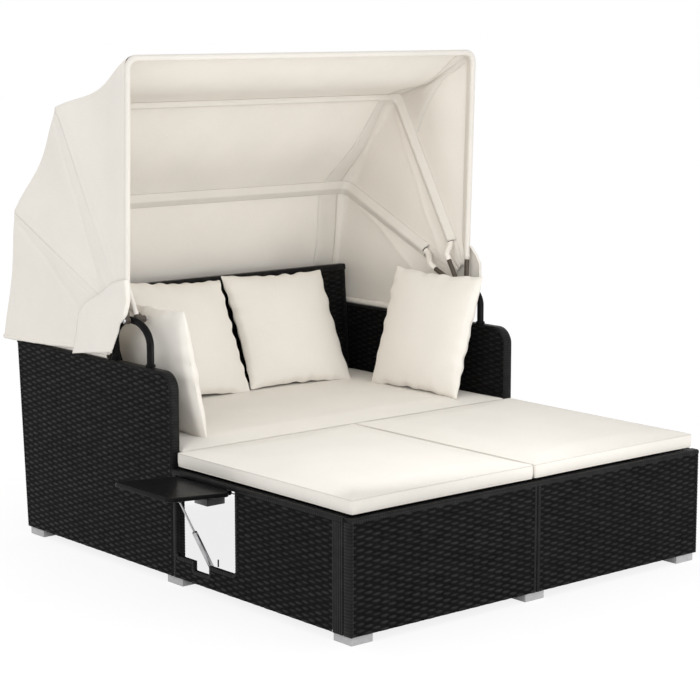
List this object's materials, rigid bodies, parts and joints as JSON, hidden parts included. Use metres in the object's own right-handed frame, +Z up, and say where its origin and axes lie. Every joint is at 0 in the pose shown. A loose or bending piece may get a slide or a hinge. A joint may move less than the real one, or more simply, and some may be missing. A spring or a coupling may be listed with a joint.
{
  "type": "outdoor daybed with canopy",
  "caption": "Woven daybed with cushions, a folding U-hoop canopy over the rear half, and a strut-held table flap that swings up from each front side panel.",
  "frame": {"origin": "underside of the foot under the middle of the joint between the front and rear sections", "axes": "+X to the right seen from the front, +Y from the front edge to the backrest, +Z up"},
  "size_m": [1.6109, 1.7262, 1.5309],
  "materials": {
    "wicker": "satin",
    "black_steel": "satin",
    "bronze_tube": "satin",
    "zinc": "satin",
    "grey_feet": "satin",
    "off_white_cloth": "matte"
  },
  "bodies": {
    "base": {"front_panel_left": "wicker", "front_panel_right": "wicker", "side_panel_left": "wicker", "side_panel_right": "wicker", "arm_panel_left": "wicker", "arm_panel_right": "wicker", "back_panel": "wicker", "middle_rail": "black_steel", "center_leg": "black_steel", "front_center_beam": "black_steel", "rear_center_beam": "black_steel", "deck_front_left": "black_steel", "deck_front_right": "black_steel", "deck_rear": "black_steel", "foot_front_left": "grey_feet", "foot_front_middle": "grey_feet", "foot_front_right": "grey_feet", "foot_center_left": "grey_feet", "foot_center_middle": "grey_feet", "foot_center_right": "grey_feet", "foot_rear_left": "grey_feet", "foot_rear_middle": "grey_feet", "foot_rear_right": "grey_feet", "hinge_pin_left": "zinc", "hinge_pin_right": "zinc", "strut_foot_bracket_left": "black_steel", "strut_foot_bracket_right": "black_steel", "catch_pin_left": "black_steel", "catch_pin_right": "black_steel", "canopy_arch_left": "black_steel", "canopy_arch_right": "black_steel", "pivot_bolt_left": "zinc", "pivot_bolt_right": "zinc", "pivot_nut_left": "zinc", "pivot_nut_right": "zinc", "hem_bar": "bronze_tube", "hem_bar_clip_left": "black_steel", "hem_bar_clip_right": "black_steel", "canopy_rear_panel": "off_white_cloth", "seat_cushion_front_left": "off_white_cloth", "seat_cushion_front_right": "off_white_cloth", "seat_cushion_rear": "off_white_cloth", "pillow_left_arm": "off_white_cloth", "pillow_back_left": "off_white_cloth", "pillow_back_right": "off_white_cloth", "pillow_right_arm": "off_white_cloth"},
    "canopy_back": {"back_hoop": "bronze_tube", "canopy_middle_panel": "off_white_cloth"},
    "canopy_middle": {"middle_hoop": "bronze_tube", "canopy_front_panel": "off_white_cloth"},
    "canopy_front": {"front_hoop": "bronze_tube"},
    "table_left": {"side_table_left": "wicker", "strut_head_bracket_left": "black_steel"},
    "table_right": {"side_table_right": "wicker", "strut_head_bracket_right": "black_steel"},
    "cylinder_left": {"strut_cylinder_left": "zinc"},
    "cylinder_right": {"strut_cylinder_right": "zinc"},
    "rod_left": {"strut_rod_left": "zinc"},
    "rod_right": {"strut_rod_right": "zinc"}
  },
  "joints": [
    {"name": "canopy_back_fold", "type": "hinge", "parent": "base", "child": "canopy_back", "pos_m": [0, 0.221, 0.754], "axis": [-1, 0, 0], "range_deg": [0, 21.3], "deforming": ["canopy_rear_panel"]},
    {"name": "canopy_middle_fold", "type": "hinge", "parent": "canopy_back", "child": "canopy_middle", "pos_m": [0, 0.221, 0.754], "axis": [-1, 0, 0], "range_deg": [0, 28.8], "deforming": ["canopy_middle_panel"]},
    {"name": "canopy_front_fold", "type": "hinge", "parent": "canopy_middle", "child": "canopy_front", "pos_m": [0, 0.221, 0.754], "axis": [-1, 0, 0], "range_deg": [0, 25.7], "deforming": ["canopy_front_panel"]},
    {"name": "table_left_swing", "type": "hinge", "parent": "base", "child": "table_left", "pos_m": [-0.6835, -0.1605, 0.322], "axis": [0, -1, 0], "range_deg": [0, 94]},
    {"name": "table_right_swing", "type": "hinge", "parent": "base", "child": "table_right", "pos_m": [0.6835, -0.1605, 0.322], "axis": [0, -1, 0], "range_deg": [0, 94]},
    {"name": "strut_left_swing", "type": "hinge", "parent": "base", "child": "cylinder_left", "pos_m": [-0.663, -0.161, 0.073], "axis": [0, 1, 0], "range_deg": [0, 32.64]},
    {"name": "strut_right_swing", "type": "hinge", "parent": "base", "child": "cylinder_right", "pos_m": [0.663, -0.161, 0.073], "axis": [0, 1, 0], "range_deg": [0, 32.64]},
    {"name": "strut_left_stroke", "type": "slide", "parent": "cylinder_left", "child": "rod_left", "axis": [-0.4621, 0, 0.8868], "range_m": [-0.09213, 0]},
    {"name": "strut_right_stroke", "type": "slide", "parent": "cylinder_right", "child": "rod_right", "axis": [-0.0891, 0, 0.996], "range_m": [0, 0.09213]}
  ],
  "couplings": [
    {"joint": "canopy_middle_fold", "follows": "canopy_back_fold", "ratio": 1.3521},
    {"joint": "canopy_front_fold", "follows": "canopy_back_fold", "ratio": 1.2066},
    {"joint": "strut_left_swing", "follows": "table_left_swing", "ratio": 0.34719},
    {"joint": "strut_left_stroke", "follows": "table_left_swing", "m_per_rad": -0.056151},
    {"joint": "strut_right_swing", "follows": "table_right_swing", "ratio": 0.34719},
    {"joint": "strut_right_stroke", "follows": "table_right_swing", "m_per_rad": 0.056151}
  ]
}
